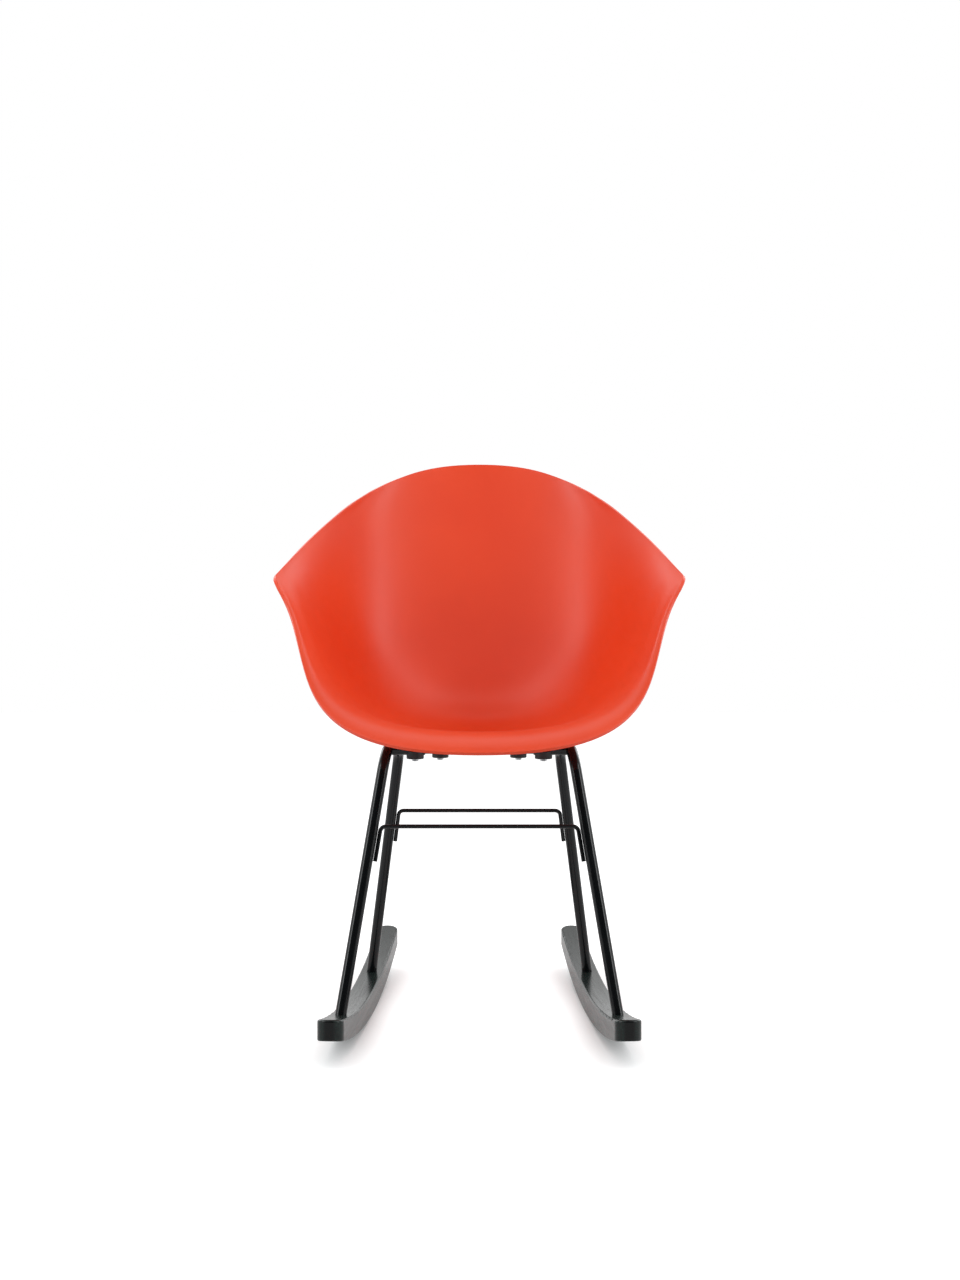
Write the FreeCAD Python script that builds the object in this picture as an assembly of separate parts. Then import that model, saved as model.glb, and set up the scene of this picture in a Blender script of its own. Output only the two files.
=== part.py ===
import FreeCAD, Part
import math
import os
from FreeCAD import Vector

# Moulded armchair shell on a bent tube frame with two toed-in wooden runners.
# Millimetres, +Z up, the sitter faces -Y, origin on the floor under the middle of the runners.

# Runners
runner_length = 723.0
runner_width = 36.0
runner_thickness = 34.0
rocking_radius = 1620.0
runner_top_radius = 1850.0
runner_low_y = 2.5
runner_spacing = 354.0
toe_angle = 3.45
runner_edge_round = 3.0

# Bent side frames
tube_diameter = 16.0
tube_wall = 2.0
frame_bend_radius = 35.0
front_corner_x = 132.5
front_corner_y = -160.4
rear_corner_x = 122.0
rear_corner_y = 42.3
front_foot_x = 191.6
front_foot_y = -243.9
rear_foot_x = 169.5
rear_foot_y = 124.0
frame_height = 411.0
rail_drop = 15.4
leg_sink = 14.0

# Seat mounts
front_mount_x = 92.0
front_mount_y = -137.0
rear_mount_x = 59.0
rear_mount_y = 14.3
pad_diameter = 25.0
saddle_depth = 5.5
saddle_wrap = 5.0
spacer_thickness = 3.0
spacer_wrap = 5.0
pad_edge_round = 1.5
boss_diameter = 26.0
boss_edge_round = 1.0
insert_diameter = 8.0
insert_length = 7.0

# Seat bolts
bolt_diameter = 5.0
bolt_head_width = 8.0
bolt_head_height = 3.5
bolt_head_crown = 0.5
washer_diameter = 10.0
washer_thickness = 1.0
bolt_clearance = 0.25
fit_clearance = 0.05

# Stretchers
wire_diameter = 6.0
front_stretcher_height = 304.5
rear_stretcher_height = 298.0
stretcher_end_length = 50.0
wire_bend_radius = 8.0
weld_gap = 0.2

# Leg plugs and the bolts that hold the runners
plug_length = 25.0
leg_bolt_diameter = 6.0
leg_bolt_head_diameter = 10.0
leg_bolt_head_height = 6.0
leg_bolt_socket = 5.0
leg_bolt_grip = 18.0
leg_washer_diameter = 12.0
leg_washer_thickness = 1.6
counterbore_diameter = 14.0
thread_engagement = 14.0

# Shell
shell_wall = 5.5
shell_half_width = 304.2
shell_depth = 600.0
arm_tip_y = -48.9
arm_tip_height = 246.4
back_top_y = 273.1
back_top_height = 431.6
arm_line_power = 1.27
rim_plan_power = 1.27
rim_plan_root = 2.45
rim_overrun = 22.0
tip_cut_share = 0.05
tip_cut_front = 0.96
tip_fullness = 0.85
tip_overrun = 6.0

tube_radius = tube_diameter / 2
bore_radius = tube_radius - tube_wall
rail_slope = rail_drop / (rear_corner_y - front_corner_y)
x_axis = Vector(1, 0, 0)
up = Vector(0, 0, 1)


# Lateral ribs of the shell from the front edge to above the back.
# y and z: where the rib crosses the middle, z above the frame; arm: how far along the arm line it ends;
# full: width of the flat middle; wall: length of the side wall; flare: how far the wall leans out;
# sag: how far the wall bows down and back; lift: how far the rib ends above the arm line.
# y, z, sag and lift are shares of the shell's depth.
ribs = (
    {"y": -0.4887, "z": 0.0112, "arm": 0, "full": 0.977, "wall": 0.36, "flare": 0.66, "sag": 0.078, "lift": 0},
    {"y": -0.4378, "z": 0.0393, "arm": 0.022, "full": 0.945, "wall": 0.40, "flare": 0.70, "sag": 0.07, "lift": 0},
    {"y": -0.3742, "z": 0.0490, "arm": 0.055, "full": 0.91, "wall": 0.44, "flare": 0.64, "sag": 0.058, "lift": 0},
    {"y": -0.2802, "z": 0.0417, "arm": 0.11, "full": 0.87, "wall": 0.48, "flare": 0.60, "sag": 0.043, "lift": 0},
    {"y": -0.1383, "z": 0.0223, "arm": 0.18, "full": 0.84, "wall": 0.50, "flare": 0.56, "sag": 0.023, "lift": 0},
    {"y": 0.0115, "z": 0.0123, "arm": 0.26, "full": 0.81, "wall": 0.52, "flare": 0.53, "sag": 0.01, "lift": 0},
    {"y": 0.1452, "z": 0.0280, "arm": 0.34, "full": 0.78, "wall": 0.52, "flare": 0.50, "sag": 0, "lift": 0},
    {"y": 0.2337, "z": 0.0922, "arm": 0.42, "full": 0.74, "wall": 0.50, "flare": 0.50, "sag": 0, "lift": 0},
    {"y": 0.2862, "z": 0.1905, "arm": 0.50, "full": 0.70, "wall": 0.48, "flare": 0.52, "sag": 0, "lift": 0},
    {"y": 0.3385, "z": 0.3388, "arm": 0.58, "full": 0.66, "wall": 0.48, "flare": 0.58, "sag": 0, "lift": 0},
    {"y": 0.3965, "z": 0.5202, "arm": 0.67, "full": 0.62, "wall": 0.50, "flare": 0.72, "sag": 0, "lift": 0},
    {"y": 0.4422, "z": 0.6687, "arm": 0.76, "full": 0.58, "wall": 0.50, "flare": 0.95, "sag": 0, "lift": 0},
    {"y": 0.4688, "z": 0.7678, "arm": 0.84, "full": 0.56, "wall": 0.50, "flare": 1.10, "sag": 0, "lift": 0.053},
    {"y": 0.4897, "z": 0.8587, "arm": 0.91, "full": 0.56, "wall": 0.50, "flare": 1.20, "sag": 0, "lift": 0.15},
)
rib_steps = 8
trim_reach = 3 * rim_overrun
trim_end = 1.12


def arm_line(share):
    """Side view of the arm and back rim, from the arm tip (0) to the middle of the back (1)."""
    y = arm_tip_y + (back_top_y - arm_tip_y) * share
    rise = back_top_height - arm_tip_height
    return Vector(0, y, frame_height + arm_tip_height + rise * share ** arm_line_power)


def rim_point(share, lift=0.0):
    x = shell_half_width * (1 - share ** rim_plan_power) ** (1 / rim_plan_root)
    return arm_line(share) + Vector(x, 0, lift)


def rib_handles(rib):
    """Middle, two handles and arm end of the right half of a rib."""
    middle = Vector(0, rib["y"] * shell_depth, frame_height + rib["z"] * shell_depth)
    end = rim_point(rib["arm"], rib["lift"] * shell_depth)
    rise = Vector(0, end.y - middle.y, end.z - middle.z)
    outward = rib["flare"] * rib["wall"] * rise.Length
    bow = Vector(0, rise.z, -rise.y).normalize() * (rib["sag"] * shell_depth)
    floor_handle = middle + x_axis * (rib["full"] * end.x)
    wall_handle = end - rise * rib["wall"] - x_axis * outward + bow
    return middle, floor_handle, wall_handle, end


def rib_curve(rib, s):
    """Point of the right half of a rib, from the middle (0) to its arm end (1)."""
    middle, floor_handle, wall_handle, end = rib_handles(rib)
    return (middle * (1 - s) ** 3 + floor_handle * 3 * s * (1 - s) ** 2
            + wall_handle * 3 * s * s * (1 - s) + end * s ** 3)


def rib_points(rib):
    """One rib of the inner surface, from arm to arm, run on past the rim at both ends."""
    half = [rib_curve(rib, k / rib_steps) for k in range(rib_steps + 1)]
    middle, floor_handle, wall_handle, end = rib_handles(rib)
    leaving = (end - wall_handle).normalize()
    half += [end + leaving * (rim_overrun * share) for share in (0.5, 1.0)]
    other = [Vector(-p.x, p.y, p.z) for p in reversed(half[1:])]
    return other + half


def arm_line_face():
    """Side view of everything above the arm line and its rounded front corner, to trim the surface with."""
    steps = 12
    span = trim_end - tip_cut_share
    line = Part.BSplineCurve()
    line.interpolate([arm_line(tip_cut_share + span * k / steps) for k in range(steps + 1)])
    start = line.value(line.FirstParameter)
    end = line.value(line.LastParameter)
    front_edge = rib_curve(ribs[0], tip_cut_front)
    front_edge.x = 0
    handle = start - line.tangent(line.FirstParameter)[0] * (start - arm_line(0)).Length * tip_fullness
    past = front_edge + (front_edge - handle).normalize() * tip_overrun
    corner = Part.BezierCurve()
    corner.setPoles([past, handle, start])
    ceiling = 2 * (frame_height + back_top_height)
    front = past.y - trim_reach
    corners = [end, Vector(0, end.y, ceiling), Vector(0, front, ceiling), Vector(0, front, past.z), past]
    edges = [corner.toShape(), line.toShape()]
    edges += [Part.makeLine(before, after) for before, after in zip(corners, corners[1:])]
    return Part.Face(Part.Wire(edges))


def trimmed_surface():
    surface = Part.BSplineSurface()
    surface.interpolate([rib_points(rib) for rib in ribs])
    reach = 2 * shell_half_width
    above = arm_line_face()
    above.translate(Vector(-reach, 0, 0))
    kept = surface.toShape().cut(above.extrude(Vector(2 * reach, 0, 0)))
    return max(kept.Faces, key=lambda face: face.Area)


def bare_shell():
    return trimmed_surface().makeOffsetShape(shell_wall, 0.01, fill=True)


def mounts():
    """Seat mounts: name, point on the tube axis."""
    front_z = frame_height - rail_slope * (front_mount_y - front_corner_y)
    rear_z = frame_height - rail_slope * (rear_mount_y - front_corner_y)
    places = []
    for side, sign in (("left", -1), ("right", 1)):
        places.append(("front_" + side, Vector(sign * front_mount_x, front_mount_y, front_z)))
        places.append(("rear_" + side, Vector(sign * rear_mount_x, rear_mount_y, rear_z)))
    return places


def upright_cylinder(centre, radius, bottom, top):
    return Part.makeCylinder(radius, top - bottom, Vector(centre.x, centre.y, bottom), up)


def boss_foot(centre):
    """Height of the lower end of a boss, on its spacer."""
    return centre.z + tube_radius + spacer_thickness


def bent_path(corners, radius):
    """Straight runs through the corners, joined by tangent arcs."""
    edges = []
    start = corners[0]
    for before, corner, after in zip(corners, corners[1:], corners[2:]):
        back = (before - corner).normalize()
        ahead = (after - corner).normalize()
        half_angle = back.getAngle(ahead) / 2
        tangent = radius / math.tan(half_angle)
        middle_line = (back + ahead).normalize()
        centre = corner + middle_line * (radius / math.sin(half_angle))
        entry = corner + back * tangent
        leave = corner + ahead * tangent
        edges.append(Part.makeLine(start, entry))
        edges.append(Part.Arc(entry, centre - middle_line * radius, leave).toShape())
        start = leave
    edges.append(Part.makeLine(start, corners[-1]))
    return Part.Wire(edges)


def swept(path, radius, inner_radius=0.0):
    start = path.Edges[0].valueAt(path.Edges[0].FirstParameter)
    direction = path.Edges[0].tangentAt(path.Edges[0].FirstParameter)
    outer = Part.Wire(Part.makeCircle(radius, start, direction))
    solid = path.makePipeShell([outer], True, False)
    if inner_radius:
        inner = Part.Wire(Part.makeCircle(inner_radius, start, direction))
        solid = solid.cut(path.makePipeShell([inner], True, False))
    return solid


def runner_top_z(y):
    """Height of the runner's upper side above the floor."""
    offset = y - runner_low_y
    drop = math.sqrt(runner_top_radius ** 2 - offset ** 2)
    return runner_thickness + runner_top_radius - drop


def leg_feet():
    """Points where the right leg axes meet the runner's upper side."""
    front = Vector(front_foot_x, front_foot_y, runner_top_z(front_foot_y))
    rear = Vector(rear_foot_x, rear_foot_y, runner_top_z(rear_foot_y))
    return front, rear


def frame_corners():
    front = Vector(front_corner_x, front_corner_y, frame_height)
    rear = Vector(rear_corner_x, rear_corner_y, frame_height - rail_drop)
    return front, rear


def leg_axes():
    """Right legs: name, foot on the runner, unit vector up the leg."""
    front_foot, rear_foot = leg_feet()
    front_corner, rear_corner = frame_corners()
    return (("front", front_foot, (front_corner - front_foot).normalize()),
            ("rear", rear_foot, (rear_corner - rear_foot).normalize()))


def mirrored(shape):
    return shape.mirror(Vector(0, 0, 0), x_axis)


def runner_blank():
    """Right runner before drilling, toed in about its middle."""
    half_straight = (runner_length - runner_width) / 2
    half_width = runner_width / 2
    tall = 4 * runner_thickness
    plan = [Part.makeLine(Vector(half_width, -half_straight, 0), Vector(half_width, half_straight, 0)),
            Part.Arc(Vector(half_width, half_straight, 0), Vector(0, half_straight + half_width, 0),
                     Vector(-half_width, half_straight, 0)).toShape(),
            Part.makeLine(Vector(-half_width, half_straight, 0), Vector(-half_width, -half_straight, 0)),
            Part.Arc(Vector(-half_width, -half_straight, 0), Vector(0, -half_straight - half_width, 0),
                     Vector(half_width, -half_straight, 0)).toShape()]
    block = Part.Face(Part.Wire(plan)).extrude(Vector(0, 0, tall))
    span = 2 * runner_width
    lower = Part.makeCylinder(rocking_radius, 2 * span,
                              Vector(-span, runner_low_y, rocking_radius), x_axis)
    upper = Part.makeCylinder(runner_top_radius, 2 * span,
                              Vector(-span, runner_low_y, runner_thickness + runner_top_radius), x_axis)
    bar = block.common(lower).cut(upper)
    long_edges = [edge for edge in bar.Edges if abs(edge.tangentAt(edge.FirstParameter).z) < 0.5]
    bar = bar.makeFillet(runner_edge_round, long_edges)
    bar.rotate(Vector(0, 0, 0), up, toe_angle)
    bar.translate(Vector(runner_spacing / 2, 0, 0))
    return bar


def bolt_seat(foot, direction):
    """Where the leg bolt's washer bears inside the runner."""
    return foot - direction * leg_bolt_grip


def runner_right():
    bar = runner_blank()
    for name, foot, direction in leg_axes():
        seat = bolt_seat(foot, direction)
        hole = Part.makeCylinder(leg_bolt_diameter / 2 + bolt_clearance, 2 * runner_thickness,
                                 foot - direction * runner_thickness, direction)
        recess = Part.makeCylinder(counterbore_diameter / 2, runner_thickness, seat, direction * -1)
        bar = bar.cut(hole).cut(recess)
    return bar


def side_frame_right():
    """Front leg, top rail and rear leg in one bent tube, cut to sit on the runner."""
    front_corner, rear_corner = frame_corners()
    legs = leg_axes()
    front_end = legs[0][1] - legs[0][2] * leg_sink
    rear_end = legs[1][1] - legs[1][2] * leg_sink
    path = bent_path([front_end, front_corner, rear_corner, rear_end], frame_bend_radius)
    return swept(path, tube_radius, bore_radius).cut(runner_blank())


def frame_envelope():
    """Solid outer form of the right side frame, to cope what is welded to it."""
    front_corner, rear_corner = frame_corners()
    front_foot, rear_foot = leg_feet()
    path = bent_path([front_foot, front_corner, rear_corner, rear_foot], frame_bend_radius)
    return swept(path, tube_radius)


def cross_drilling(centre):
    radius = bolt_diameter / 2 + bolt_clearance
    return upright_cylinder(centre, radius, centre.z - tube_diameter, centre.z + tube_diameter)


def rail_x(y):
    """Sideways place of the top rail's axis at a depth."""
    share = (y - front_corner_y) / (rear_corner_y - front_corner_y)
    return front_corner_x + (rear_corner_x - front_corner_x) * share


def front_arm_right():
    """Short arm from the side frame to the front mount, drilled for its bolt."""
    centre = dict(mounts())["front_right"]
    inner_end = Vector(centre.x - pad_diameter / 2, centre.y, centre.z)
    length = rail_x(centre.y) - inner_end.x
    arm = Part.makeCylinder(tube_radius, length, inner_end, x_axis)
    arm = arm.cut(Part.makeCylinder(bore_radius, length, inner_end, x_axis))
    return arm.cut(frame_envelope()).cut(cross_drilling(centre))


def arm_cap_right():
    """Plug in the open inner end of the front arm."""
    centre = dict(mounts())["front_right"]
    inner_end = Vector(centre.x - pad_diameter / 2, centre.y, centre.z)
    cover = Part.makeCylinder(tube_radius, tube_wall, inner_end - x_axis * tube_wall, x_axis)
    cover = cover.makeFillet(tube_wall / 2, [min(cover.Edges, key=lambda edge: edge.BoundBox.XMax)])
    stem_length = pad_diameter / 2 - bolt_diameter
    stem = Part.makeCylinder(bore_radius - fit_clearance, stem_length, inner_end, x_axis)
    return cover.fuse(stem)


def rear_cross_tube():
    """Tube between the side frames that carries the rear mounts."""
    places = dict(mounts())
    centre = places["rear_right"]
    half = rail_x(centre.y)
    start = Vector(-half, centre.y, centre.z)
    tube = Part.makeCylinder(tube_radius, 2 * half, start, x_axis)
    tube = tube.cut(Part.makeCylinder(bore_radius, 2 * half, start, x_axis))
    frame = frame_envelope()
    tube = tube.cut(frame).cut(mirrored(frame))
    for name in ("rear_right", "rear_left"):
        tube = tube.cut(cross_drilling(places[name]))
    return tube


def stretcher(leg, height):
    """Wire across the frame, its ends turned down along the inner sides of two legs."""
    foot, direction = leg[1:]
    centre = foot + direction * ((height - foot.z) / direction.z)
    side_step = (tube_radius + wire_diameter / 2 + weld_gap) / math.hypot(direction.y, direction.z)
    corner = centre - x_axis * side_step
    lower = corner - direction * stretcher_end_length
    path = bent_path([lower, corner, Vector(-corner.x, corner.y, corner.z), Vector(-lower.x, lower.y, lower.z)],
                     wire_bend_radius)
    return swept(path, wire_diameter / 2)


def saddle(centre):
    """Nylon pad under the tube, hollowed to its round, with a seat for the washer."""
    bottom = centre.z - tube_radius - saddle_depth
    top = centre.z - tube_radius + saddle_wrap
    pad = upright_cylinder(centre, pad_diameter / 2, bottom, top)
    lower_edge = min(pad.Edges, key=lambda edge: edge.BoundBox.ZMax)
    pad = pad.makeFillet(pad_edge_round, [lower_edge])
    tube = Part.makeCylinder(tube_radius, 2 * pad_diameter, centre - x_axis * pad_diameter, x_axis)
    hole = upright_cylinder(centre, bolt_diameter / 2 + bolt_clearance, bottom, top)
    seat = upright_cylinder(centre, washer_diameter / 2 + bolt_clearance, bottom, bottom + washer_thickness)
    return pad.cut(tube).cut(hole).cut(seat)


def spacer(centre):
    """Rubber pad between the tube and the shell's boss, hollowed to the tube's round."""
    bottom = centre.z + tube_radius - spacer_wrap
    pad = upright_cylinder(centre, pad_diameter / 2, bottom, boss_foot(centre))
    tube = Part.makeCylinder(tube_radius, 2 * pad_diameter, centre - x_axis * pad_diameter, x_axis)
    hole = upright_cylinder(centre, bolt_diameter / 2 + bolt_clearance, bottom, boss_foot(centre))
    return pad.cut(tube).cut(hole)


def hexagon(centre, width, bottom, height):
    corner_radius = width / math.sqrt(3)
    points = []
    for k in range(7):
        angle = math.radians(60 * k)
        points.append(Vector(centre.x + corner_radius * math.cos(angle),
                             centre.y + corner_radius * math.sin(angle), bottom))
    return Part.Face(Part.makePolygon(points)).extrude(Vector(0, 0, height))


def seat_bolt(centre):
    """Hex bolt from below through saddle, tube and spacer into the insert."""
    seat = centre.z - tube_radius - saddle_depth
    head = hexagon(centre, bolt_head_width, seat - bolt_head_height, bolt_head_height)
    corner_radius = bolt_head_width / math.sqrt(3)
    crown_radius = (corner_radius ** 2 + bolt_head_crown ** 2) / (2 * bolt_head_crown)
    crown = Part.makeSphere(crown_radius, Vector(centre.x, centre.y, seat - bolt_head_height + crown_radius))
    tip = boss_foot(centre) + insert_length
    shank = upright_cylinder(centre, bolt_diameter / 2, seat, tip)
    return head.common(crown).fuse(shank)


def seat_washer(centre):
    seat = centre.z - tube_radius - saddle_depth
    ring = upright_cylinder(centre, washer_diameter / 2, seat, seat + washer_thickness)
    return ring.cut(upright_cylinder(centre, bolt_diameter / 2 + fit_clearance, seat, seat + washer_thickness))


def insert(centre):
    """Threaded brass sleeve in a boss of the shell."""
    foot = boss_foot(centre)
    sleeve = upright_cylinder(centre, insert_diameter / 2, foot, foot + insert_length)
    return sleeve.cut(upright_cylinder(centre, bolt_diameter / 2 + fit_clearance, foot, foot + insert_length))


def boss(shell, centre):
    """Moulded post from the spacer up to the underside of the shell."""
    foot = boss_foot(centre)
    post = upright_cylinder(centre, boss_diameter / 2, foot, foot + 4 * boss_diameter)
    post = post.makeFillet(boss_edge_round, [min(post.Edges, key=lambda edge: edge.BoundBox.ZMax)])
    return min(post.cut(shell).Solids, key=lambda solid: solid.CenterOfMass.z)


def seat_shell():
    """Shell with four bosses below, each bored for its insert."""
    bare = bare_shell()
    shell = bare.fuse([boss(bare, centre) for name, centre in mounts()])
    for name, centre in mounts():
        foot = boss_foot(centre)
        shell = shell.cut(upright_cylinder(centre, insert_diameter / 2, foot, foot + insert_length))
    return shell


def leg_plug(foot, direction):
    """Threaded plug welded into the foot of a leg."""
    plug = Part.makeCylinder(bore_radius - fit_clearance, plug_length + leg_sink, foot - direction * leg_sink,
                             direction)
    plug = plug.cut(runner_blank())
    thread = Part.makeCylinder(leg_bolt_diameter / 2 + fit_clearance, 2 * plug_length,
                               foot - direction * leg_sink, direction)
    return plug.cut(thread)


def leg_washer(foot, direction):
    seat = bolt_seat(foot, direction)
    ring = Part.makeCylinder(leg_washer_diameter / 2, leg_washer_thickness, seat, direction * -1)
    return ring.cut(Part.makeCylinder(leg_bolt_diameter / 2 + fit_clearance, leg_washer_thickness, seat,
                                      direction * -1))


def leg_bolt(foot, direction):
    """Socket head bolt from below into the plug."""
    under_head = bolt_seat(foot, direction) - direction * leg_washer_thickness
    shank_length = leg_bolt_grip + leg_washer_thickness + thread_engagement
    shank = Part.makeCylinder(leg_bolt_diameter / 2, shank_length, under_head, direction)
    head = Part.makeCylinder(leg_bolt_head_diameter / 2, leg_bolt_head_height, under_head, direction * -1)
    top = under_head - direction * leg_bolt_head_height
    socket = hexagon(Vector(0, 0, 0), leg_bolt_socket, 0, leg_bolt_head_height / 2)
    socket.Placement = FreeCAD.Placement(top, FreeCAD.Rotation(up, direction))
    return head.fuse(shank).cut(socket)


def all_pieces():
    pieces = {"seat_shell": seat_shell()}
    for name, centre in mounts():
        pieces["threaded_insert_" + name] = insert(centre)
        pieces["rubber_spacer_" + name] = spacer(centre)
        pieces["saddle_pad_" + name] = saddle(centre)
        pieces["seat_washer_" + name] = seat_washer(centre)
        pieces["seat_bolt_" + name] = seat_bolt(centre)
    sided = {"side_frame": side_frame_right(), "front_arm": front_arm_right(), "arm_end_cap": arm_cap_right(),
             "runner": runner_right()}
    for name, foot, direction in leg_axes():
        sided["leg_plug_" + name] = leg_plug(foot, direction)
        sided["leg_washer_" + name] = leg_washer(foot, direction)
        sided["leg_bolt_" + name] = leg_bolt(foot, direction)
    for name, shape in sided.items():
        pieces[name + "_right"] = shape
        pieces[name + "_left"] = mirrored(shape)
    pieces["rear_cross_tube"] = rear_cross_tube()
    front_leg, rear_leg = leg_axes()
    pieces["stretcher_front"] = stretcher(front_leg, front_stretcher_height)
    pieces["stretcher_rear"] = stretcher(rear_leg, rear_stretcher_height)
    return pieces


os.makedirs("parts", exist_ok=True)
for name, shape in all_pieces().items():
    shape.exportStep("parts/" + name + ".step")
    print(name, len(shape.Solids), shape.isValid(), round(shape.Volume))
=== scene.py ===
import math

import bpy
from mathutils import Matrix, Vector


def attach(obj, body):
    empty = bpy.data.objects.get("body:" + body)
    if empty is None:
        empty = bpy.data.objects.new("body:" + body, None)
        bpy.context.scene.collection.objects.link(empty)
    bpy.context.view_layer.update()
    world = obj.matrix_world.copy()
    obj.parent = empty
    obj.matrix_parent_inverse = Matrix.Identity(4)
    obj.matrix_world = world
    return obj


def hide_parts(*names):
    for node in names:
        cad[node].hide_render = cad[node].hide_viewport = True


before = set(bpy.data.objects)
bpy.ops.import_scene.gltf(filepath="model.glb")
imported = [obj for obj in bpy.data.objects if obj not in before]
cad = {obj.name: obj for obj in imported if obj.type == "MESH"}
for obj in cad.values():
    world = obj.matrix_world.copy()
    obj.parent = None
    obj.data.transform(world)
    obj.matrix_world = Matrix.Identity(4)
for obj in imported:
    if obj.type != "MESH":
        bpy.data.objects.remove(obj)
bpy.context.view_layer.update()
print("frame loaded:", len(cad), "pieces")


# small helpers

def deselectAll():
    if bpy.context.object and bpy.context.object.mode != "OBJECT":
        bpy.ops.object.mode_set(mode="OBJECT")
    bpy.ops.object.select_all(action="DESELECT")


def pickOnly(piece):
    deselectAll()
    piece.select_set(True)
    bpy.context.view_layer.objects.active = piece


def newMaterial(name):
    material = bpy.data.materials.new(name)
    material.use_nodes = True
    return material, material.node_tree.nodes, material.node_tree.links


def addNode(nodes, kind, place, **inputs):
    node = nodes.new(kind)
    node.location = place
    for socket, value in inputs.items():
        node.inputs[socket.replace("_", " ")].default_value = value
    return node


def addMath(nodes, operation, place):
    node = addNode(nodes, "ShaderNodeMath", place)
    node.operation = operation
    return node


def addNoise(nodes, links, vector, place, **inputs):
    noise = addNode(nodes, "ShaderNodeTexNoise", place, **inputs)
    links.new(vector, noise.inputs["Vector"])
    return noise.outputs["Fac"]


def addRamp(nodes, links, value, span, dark, pale):
    ramp = addNode(nodes, "ShaderNodeValToRGB", (-650, 200))
    ramp.color_ramp.elements[0].position = span[0]
    ramp.color_ramp.elements[0].color = (*dark, 1)
    ramp.color_ramp.elements[1].position = span[1]
    ramp.color_ramp.elements[1].color = (*pale, 1)
    links.new(value, ramp.inputs["Fac"])
    return ramp


def addBump(nodes, links, height, look):
    bump = addNode(nodes, "ShaderNodeBump", (-400, -300), Strength=look["bump"], Distance=look["grainDepth"])
    links.new(height, bump.inputs["Height"])
    links.new(bump.outputs["Normal"], nodes["Principled BSDF"].inputs["Normal"])


# one procedural surface: soft clouds of colour and polish, fine grain in the bump

def cloudedSurface(name, look):
    material, nodes, links = newMaterial(name)
    shader = nodes["Principled BSDF"]
    place = addNode(nodes, "ShaderNodeTexCoord", (-1200, 0)).outputs["Object"]
    clouds = addNoise(nodes, links, place, (-900, 200), Scale=look["cloudSize"], Detail=look["cloudDetail"])
    grain = addNoise(nodes, links, place, (-900, -200), Scale=look["grainSize"], Detail=look["grainDetail"])
    shade = addRamp(nodes, links, clouds, look["cloudSpan"], look["dark"], look["pale"])
    links.new(shade.outputs["Color"], shader.inputs["Base Color"])
    polish = addNode(nodes, "ShaderNodeMapRange", (-650, -50))
    polish.inputs["To Min"].default_value = look["roughness"] - look["roughnessSpread"]
    polish.inputs["To Max"].default_value = look["roughness"] + look["roughnessSpread"]
    links.new(clouds, polish.inputs["Value"])
    links.new(polish.outputs["Result"], shader.inputs["Roughness"])
    shader.inputs["Specular IOR Level"].default_value = look["specular"]
    shader.inputs["Metallic"].default_value = look["metallic"]
    addBump(nodes, links, grain, look)
    return material


def dress(names, material):
    for name in names:
        mesh = cad[name].data
        mesh.materials.clear()
        mesh.materials.append(material)


def nodesNamed(*starts):
    return sorted(name for name in cad if name.startswith(starts))


# camera, a little above the seat and tipped down

camera = {
    "place": (0.0, -2.8629, 0.6375),   # metres, in front of the chair
    "tipDown": 1.5,                    # degrees
    "lens": 53.58,                     # mm
    "sensor": 36.0,                    # mm, the picture's long side
    "shiftX": 0.0005,
    "clipEnd": 60.0,
}


def placeCamera():
    bpy.ops.object.camera_add(location=camera["place"])
    view = bpy.context.object
    view.rotation_euler = (math.radians(90 - camera["tipDown"]), 0, 0)
    view.data.lens = camera["lens"]
    view.data.sensor_width = camera["sensor"]
    view.data.shift_x = camera["shiftX"]
    view.data.clip_end = camera["clipEnd"]
    bpy.context.scene.camera = view
    bpy.context.scene.view_settings.view_transform = "Standard"


deselectAll()
placeCamera()
print("camera placed")


# white floor, with a glow that leaves only the shadow of the chair, and a painted contact shadow round the
# runners

floor = {
    "size": 14.0,             # metres
    "shade": 0.65,            # how pale the floor is in the light
    "roughness": 0.9,
    "specular": 0.1,
    "glow": 0.80,             # what the camera sees on top of the light
    "glossGlow": 0.25,        # the same for what the gloss of the chair sees
    "paintedShadowReach": 0.07,     # metres round the runners where the glow gives way to painted shadow
    "paintedShadowGlow": 0.15,      # share of the glow left where the painted shadow is darkest
    "paintedShadowOpenness": 0.35,  # how open the floor is where the painted shadow is darkest
    "paintedShadowSamples": 16,
}


# painted contact shadow: ambient occlusion dims the floor's glow close to the runners
def paintedContactShadow(nodes, links):
    shadowOcclusion = addNode(nodes, "ShaderNodeAmbientOcclusion", (-900, -500), Distance=floor["paintedShadowReach"])
    shadowOcclusion.samples = floor["paintedShadowSamples"]
    paintedShadowLevel = addNode(nodes, "ShaderNodeMapRange", (-600, -500))
    paintedShadowLevel.inputs["From Min"].default_value = floor["paintedShadowOpenness"]
    paintedShadowLevel.inputs["To Min"].default_value = floor["paintedShadowGlow"]
    links.new(shadowOcclusion.outputs["AO"], paintedShadowLevel.inputs["Value"])
    return paintedShadowLevel.outputs["Result"]


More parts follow.
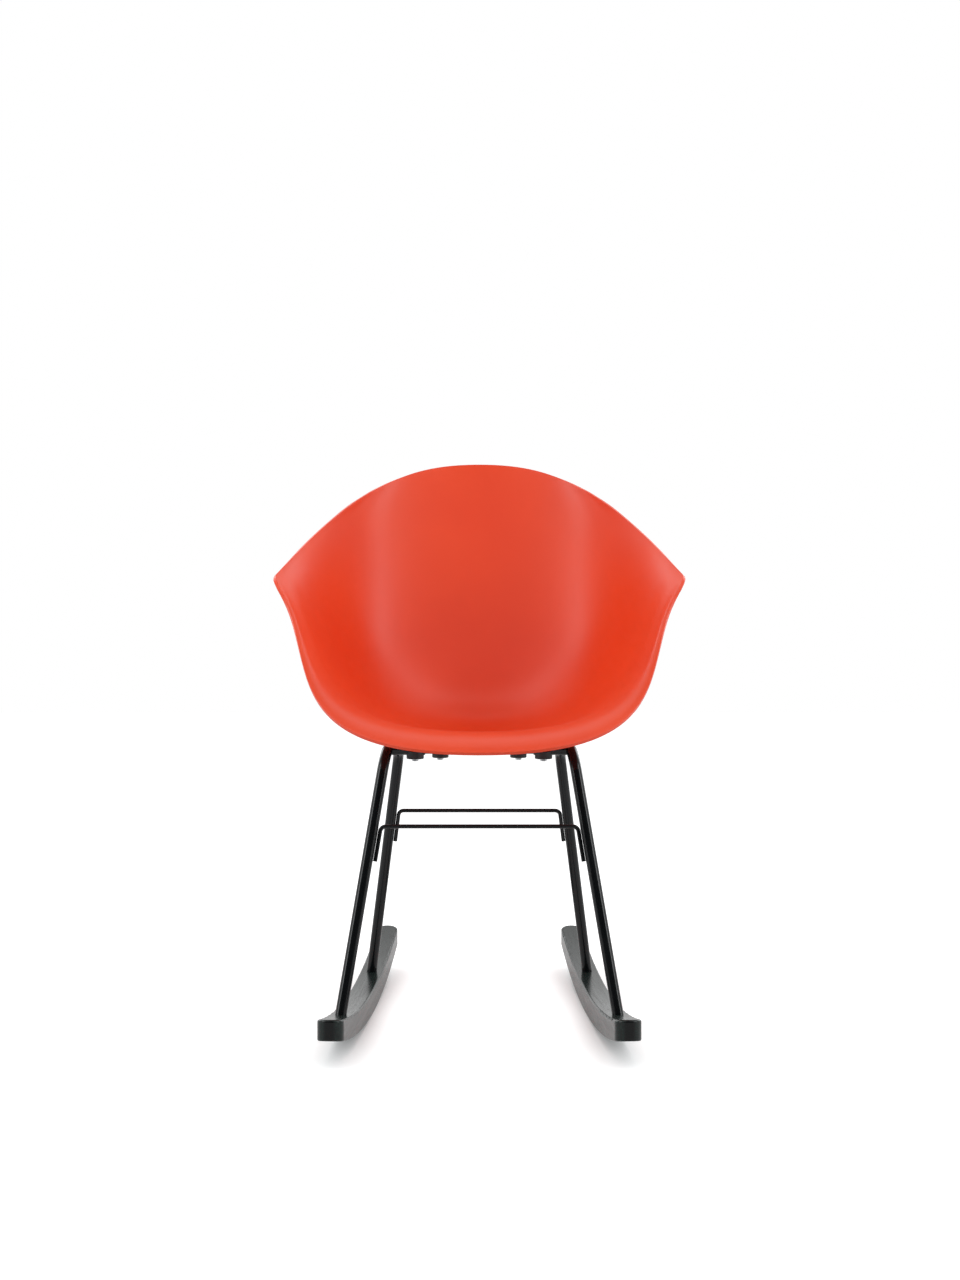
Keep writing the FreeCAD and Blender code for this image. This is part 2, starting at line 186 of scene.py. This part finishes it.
def whiteFloor():
    material, nodes, links = newMaterial("studioWhite")
    shader = nodes["Principled BSDF"]
    shader.inputs["Base Color"].default_value = (floor["shade"], floor["shade"], floor["shade"], 1)
    shader.inputs["Roughness"].default_value = floor["roughness"]
    shader.inputs["Specular IOR Level"].default_value = floor["specular"]
    glow = addNode(nodes, "ShaderNodeEmission", (0, -400), Color=(1, 1, 1, 1))
    rays = addNode(nodes, "ShaderNodeLightPath", (-900, -200))
    seen = addMath(nodes, "MULTIPLY", (-600, -200))
    seen.inputs[1].default_value = floor["glow"]
    links.new(rays.outputs["Is Camera Ray"], seen.inputs[0])
    # the camera's glow, darkened by the painted contact shadow
    glowInPaintedShadow = addMath(nodes, "MULTIPLY", (-400, -300))
    links.new(seen.outputs[0], glowInPaintedShadow.inputs[0])
    links.new(paintedContactShadow(nodes, links), glowInPaintedShadow.inputs[1])
    amount = addMath(nodes, "MULTIPLY_ADD", (-200, -300))
    amount.inputs[1].default_value = floor["glossGlow"]
    links.new(rays.outputs["Is Glossy Ray"], amount.inputs[0])
    links.new(glowInPaintedShadow.outputs[0], amount.inputs[2])
    links.new(amount.outputs[0], glow.inputs["Strength"])
    both = addNode(nodes, "ShaderNodeAddShader", (250, 0))
    links.new(shader.outputs[0], both.inputs[0])
    links.new(glow.outputs[0], both.inputs[1])
    links.new(both.outputs[0], nodes["Material Output"].inputs["Surface"])
    return material


def layFloor():
    bpy.ops.mesh.primitive_plane_add(size=floor["size"], location=(0, 0, 0))
    piece = bpy.context.object
    piece.name = "studioFloor"
    piece.data.materials.append(whiteFloor())


# white air round the studio: plain white to the eye and in the gloss, dimmer as a light

air = {
    "light": 0.50,
}


def whiteWorld():
    world = bpy.data.worlds.new("studioAir")
    bpy.context.scene.world = world
    world.use_nodes = True
    nodes, links = world.node_tree.nodes, world.node_tree.links
    light = nodes["Background"]
    light.inputs["Color"].default_value = (1, 1, 1, 1)
    light.inputs["Strength"].default_value = air["light"]
    seenWhite = addNode(nodes, "ShaderNodeBackground", (0, -200), Color=(1, 1, 1, 1))
    rays = addNode(nodes, "ShaderNodeLightPath", (-600, 200))
    seen = addMath(nodes, "MAXIMUM", (-300, 200))
    links.new(rays.outputs["Is Camera Ray"], seen.inputs[0])
    links.new(rays.outputs["Is Glossy Ray"], seen.inputs[1])
    choice = addNode(nodes, "ShaderNodeMixShader", (250, 0))
    links.new(seen.outputs[0], choice.inputs[0])
    links.new(light.outputs[0], choice.inputs[1])
    links.new(seenWhite.outputs[0], choice.inputs[2])
    links.new(choice.outputs[0], nodes["World Output"].inputs["Surface"])


# soft boxes, all but the front one in pairs; places and sizes in metres, power in watts

lampTint = (0.96, 0.99, 1.0)
lamps = {
    "key": {"place": (1.15, -0.8, 2.8), "aimHeight": 0.5, "size": (1.1, 2.2), "power": 11.0},
    "side": {"place": (2.5, -1.1, 1.3), "aimHeight": 0.6, "size": (0.7, 1.6), "power": 22.0},
    "front": {"place": (0.0, -2.7, 2.7), "aimHeight": 0.6, "size": (1.8, 0.8), "power": 2.0},
    "back": {"place": (1.9, 1.9, 1.5), "aimHeight": 0.6, "size": (1.5, 1.9), "power": 24.0},
}


def softBox(name, kind, side):
    lamp = lamps[kind]
    across, back, height = lamp["place"]
    place = Vector((side * across, back, height))
    bpy.ops.object.light_add(type="AREA", location=place)
    box = bpy.context.object
    box.name = name
    aim = Vector((0, 0, lamp["aimHeight"]))
    box.rotation_euler = (aim - place).to_track_quat("-Z", "Y").to_euler()
    box.data.shape = "RECTANGLE"
    box.data.size, box.data.size_y = lamp["size"]
    box.data.energy = lamp["power"]
    box.data.color = lampTint


def hangLights():
    softBox("keyLeftBox", "key", -1)
    softBox("keyRightBox", "key", 1)
    softBox("leftBox", "side", -1)
    softBox("rightBox", "side", 1)
    softBox("frontBox", "front", 1)
    softBox("backLeftBox", "back", -1)
    softBox("backRightBox", "back", 1)


# dark cards that only the gloss of the chair sees: one behind the camera, one overhead

cardShade = 0.03
cards = {
    "frontCard": {"place": (0.0, -3.7, 1.2), "size": (14.0, 3.2), "tip": 90},
    "roofCard": {"place": (0.0, -1.3, 3.4), "size": (1.3, 4.0), "tip": 0},
}


def darkCard(name):
    material, nodes, links = newMaterial(name + "Felt")
    nodes["Principled BSDF"].inputs["Base Color"].default_value = (cardShade, cardShade, cardShade, 1)
    nodes["Principled BSDF"].inputs["Roughness"].default_value = 1.0
    tip = math.radians(cards[name]["tip"])
    bpy.ops.mesh.primitive_plane_add(size=1, location=cards[name]["place"], rotation=(tip, 0, 0))
    card = bpy.context.object
    card.name = name
    card.scale = (*cards[name]["size"], 1)
    card.data.materials.append(material)
    card.visible_camera = False
    card.visible_diffuse = False
    card.visible_shadow = False


layFloor()
whiteWorld()
hangLights()
darkCard("frontCard")
darkCard("roofCard")
print("studio lit")


# black satin powder coat of tubes and wires

frameLacquer = {
    "dark": (0.003500, 0.00420, 0.00480),
    "pale": (0.004725, 0.00567, 0.00648),
    "cloudSize": 18.0,
    "cloudDetail": 2.0,
    "cloudSpan": (0.3, 0.7),   # noise values where the dark and the pale colour are reached
    "grainSize": 420.0,
    "grainDetail": 2.0,
    "grainDepth": 0.00003,     # metres
    "bump": 0.2,
    "roughness": 0.19,
    "roughnessSpread": 0.05,
    "specular": 0.3,
    "metallic": 0.0,
}


def dressFrame():
    coat = cloudedSurface("blackPowderCoat", frameLacquer)
    dress(nodesNamed("side_frame", "front_arm", "stretcher", "rear_cross_tube"), coat)


# black stained ash of the runners, with the grain along the bend

runnerWood = {
    "dark": (0.0030, 0.0040, 0.0042),
    "pale": (0.013, 0.023, 0.020),
    "shadeSpan": (0.38, 0.62),         # grain values where the dark and the pale colour are reached
    "paintedEndShade": (0.0008, 0.0012, 0.0015),   # painted shade: the sawn front end is coloured darker, for the shade and dark reflection it shows from the front
    "paintedEndShadeDepth": (0.0006, 0.0022),      # metres behind the front end where that painted shade fades
    "toeAngle": 3.45,                  # degrees, as the runners stand
    "stripWidth": 0.007,               # metres
    "stripLength": 0.34,
    "fibre": {"Scale": 6.0, "Detail": 6.0, "Roughness": 0.62},
    "rings": {"Scale": 1.6, "Detail": 3.0, "Distortion": 1.2},
    "fibreShare": 0.5,                 # the rest is rings
    "grainDepth": 0.00009,
    "bump": 0.5,
    "grainSpan": (0.3, 0.7),           # grain values between which the polish changes
    "polishSpan": (0.32, 0.18),        # roughness of the dark and of the pale grain
    "specular": 0.25,
}


def frontEnd(runner, side):
    angle = -side * math.radians(runnerWood["toeAngle"])
    return min(math.sin(angle) * v.co.x + math.cos(angle) * v.co.y for v in cad[runner].data.vertices)


def alongRunner(nodes, links, side):
    place = addNode(nodes, "ShaderNodeTexCoord", (-1600, 0))
    along = addNode(nodes, "ShaderNodeMapping", (-1400, 0))
    along.vector_type = "TEXTURE"
    along.inputs["Rotation"].default_value = (0, 0, side * math.radians(runnerWood["toeAngle"]))
    width, length = runnerWood["stripWidth"], runnerWood["stripLength"]
    along.inputs["Scale"].default_value = (width, length, width)
    links.new(place.outputs["Object"], along.inputs["Vector"])
    return along.outputs["Vector"]


def woodGrain(nodes, links, along):
    fibre = addNoise(nodes, links, along, (-1150, 200), **runnerWood["fibre"])
    rings = addNoise(nodes, links, along, (-1150, -100), **runnerWood["rings"])
    fibrePart = addMath(nodes, "MULTIPLY", (-950, 200))
    fibrePart.inputs[1].default_value = runnerWood["fibreShare"]
    both = addMath(nodes, "MULTIPLY_ADD", (-800, 0))
    both.inputs[1].default_value = 1 - runnerWood["fibreShare"]
    links.new(fibre, fibrePart.inputs[0])
    links.new(rings, both.inputs[0])
    links.new(fibrePart.outputs[0], both.inputs[2])
    return both.outputs[0]


# painted shade: the front end face of the runner gets a darker colour, standing in for the shade and dark
# reflection it shows
def paintEndShade(nodes, links, along, runner, side):
    apart = addNode(nodes, "ShaderNodeSeparateXYZ", (-1150, 450))
    links.new(along, apart.inputs["Vector"])
    inside = addNode(nodes, "ShaderNodeMapRange", (-900, 450))
    first, last = (frontEnd(runner, side) + depth for depth in runnerWood["paintedEndShadeDepth"])
    inside.inputs["From Min"].default_value = first / runnerWood["stripLength"]
    inside.inputs["From Max"].default_value = last / runnerWood["stripLength"]
    links.new(apart.outputs["Y"], inside.inputs["Value"])
    paintedEnd = addNode(nodes, "ShaderNodeMix", (-350, 300))
    paintedEnd.data_type = "RGBA"
    paintedEnd.inputs["A"].default_value = (*runnerWood["paintedEndShade"], 1)
    links.new(inside.outputs["Result"], paintedEnd.inputs["Factor"])
    return paintedEnd


def stainedAsh(name, runner, side):
    material, nodes, links = newMaterial(name)
    shader = nodes["Principled BSDF"]
    along = alongRunner(nodes, links, side)
    grain = woodGrain(nodes, links, along)
    shade = addRamp(nodes, links, grain, runnerWood["shadeSpan"], runnerWood["dark"], runnerWood["pale"])
    paintedEnd = paintEndShade(nodes, links, along, runner, side)
    links.new(shade.outputs["Color"], paintedEnd.inputs["B"])
    links.new(paintedEnd.outputs["Result"], shader.inputs["Base Color"])
    polish = addNode(nodes, "ShaderNodeMapRange", (-650, -50))
    polish.inputs["From Min"].default_value = runnerWood["grainSpan"][0]
    polish.inputs["From Max"].default_value = runnerWood["grainSpan"][1]
    polish.inputs["To Min"].default_value = runnerWood["polishSpan"][0]
    polish.inputs["To Max"].default_value = runnerWood["polishSpan"][1]
    links.new(grain, polish.inputs["Value"])
    links.new(polish.outputs["Result"], shader.inputs["Roughness"])
    shader.inputs["Specular IOR Level"].default_value = runnerWood["specular"]
    addBump(nodes, links, grain, runnerWood)
    return material


def dressRunners():
    dress(["runner_right"], stainedAsh("stainedAshRight", "runner_right", 1))
    dress(["runner_left"], stainedAsh("stainedAshLeft", "runner_left", -1))


# small fittings: nylon pads, rubber spacers, zinc plated screws, brass inserts

fittings = {
    "padNylon": {"pale": (0.014, 0.014, 0.015), "roughness": 0.5, "metallic": 0.0,
                 "grainSize": 600.0, "grainDepth": 0.00005},
    "spacerRubber": {"pale": (0.020, 0.019, 0.019), "roughness": 0.7, "metallic": 0.0,
                     "grainSize": 500.0, "grainDepth": 0.00005},
    "zincPlate": {"pale": (0.62, 0.63, 0.65), "roughness": 0.3, "metallic": 1.0,
                  "grainSize": 900.0, "grainDepth": 0.00002},
    "turnedBrass": {"pale": (0.62, 0.43, 0.16), "roughness": 0.35, "metallic": 1.0,
                    "grainSize": 700.0, "grainDepth": 0.00002},
}
allFittings = {
    "darkShare": 0.82,         # the dark colour as a share of the pale one
    "cloudSpan": (0.3, 0.7),
    "grainDetail": 4.0,
    "bump": 0.3,
    "roughnessSpread": 0.07,
    "specular": 0.5,
}


def fineGrained(name):
    look = {**allFittings, **fittings[name]}
    look["dark"] = tuple(value * look["darkShare"] for value in look["pale"])
    look["cloudSize"] = look["grainSize"]
    look["cloudDetail"] = look["grainDetail"]
    return cloudedSurface(name, look)


def dressFittings():
    dress(nodesNamed("saddle_pad", "arm_end_cap"), fineGrained("padNylon"))
    dress(nodesNamed("rubber_spacer"), fineGrained("spacerRubber"))
    zincPieces = nodesNamed("seat_bolt", "seat_washer", "leg_bolt", "leg_washer", "leg_plug")
    dress(zincPieces, fineGrained("zincPlate"))
    dress(nodesNamed("threaded_insert"), fineGrained("turnedBrass"))


dressFrame()
dressRunners()
dressFittings()
print("frame dressed")


# the shell in orange red moulded plastic, with its cut edge rounded over

shell = {
    "edgeRound": 0.0014,       # metres
    "edgeSteps": 4,
    "edgeAngle": 50,           # degrees, what counts as the cut edge
    "smoothAngle": 40,
    "mergeWithin": 0.00002,    # metres
}
shellPlastic = {
    "dark": (0.79, 0.050, 0.008),
    "pale": (0.84, 0.060, 0.010),
    "cloudSize": 5.0,
    "cloudDetail": 3.0,
    "cloudSpan": (0.35, 0.65),
    "grainSize": 900.0,        # fine spark eroded texture
    "grainDetail": 2.0,
    "grainDepth": 0.00004,
    "bump": 0.25,
    "roughness": 0.37,
    "roughnessSpread": 0.04,
    "specular": 0.42,
    "metallic": 0.0,
}


def roundShellEdge():
    pickOnly(cad["seat_shell"])
    bpy.ops.object.duplicate(linked=False)
    piece = bpy.context.object
    piece.name = "moulded_shell"
    for key in list(piece.keys()):
        del piece[key]
    piece.parent = None
    pickOnly(piece)
    bpy.ops.mesh.customdata_custom_splitnormals_clear()
    bpy.ops.object.mode_set(mode="EDIT")
    bpy.ops.mesh.select_all(action="SELECT")
    bpy.ops.mesh.remove_doubles(threshold=shell["mergeWithin"])
    bpy.ops.object.mode_set(mode="OBJECT")
    edge = piece.modifiers.new("edgeRound", "BEVEL")
    edge.width = shell["edgeRound"]
    edge.segments = shell["edgeSteps"]
    edge.limit_method = "ANGLE"
    edge.angle_limit = math.radians(shell["edgeAngle"])
    edge.use_clamp_overlap = True
    bpy.ops.object.modifier_apply(modifier="edgeRound")
    bpy.ops.object.shade_smooth_by_angle(angle=math.radians(shell["smoothAngle"]))
    piece.data.materials.clear()
    piece.data.materials.append(cloudedSurface("orangeShellPlastic", shellPlastic))
    return piece


shellPiece = roundShellEdge()
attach(shellPiece, "root")
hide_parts("seat_shell")
print("shell rounded:", len(shellPiece.data.polygons), "faces")
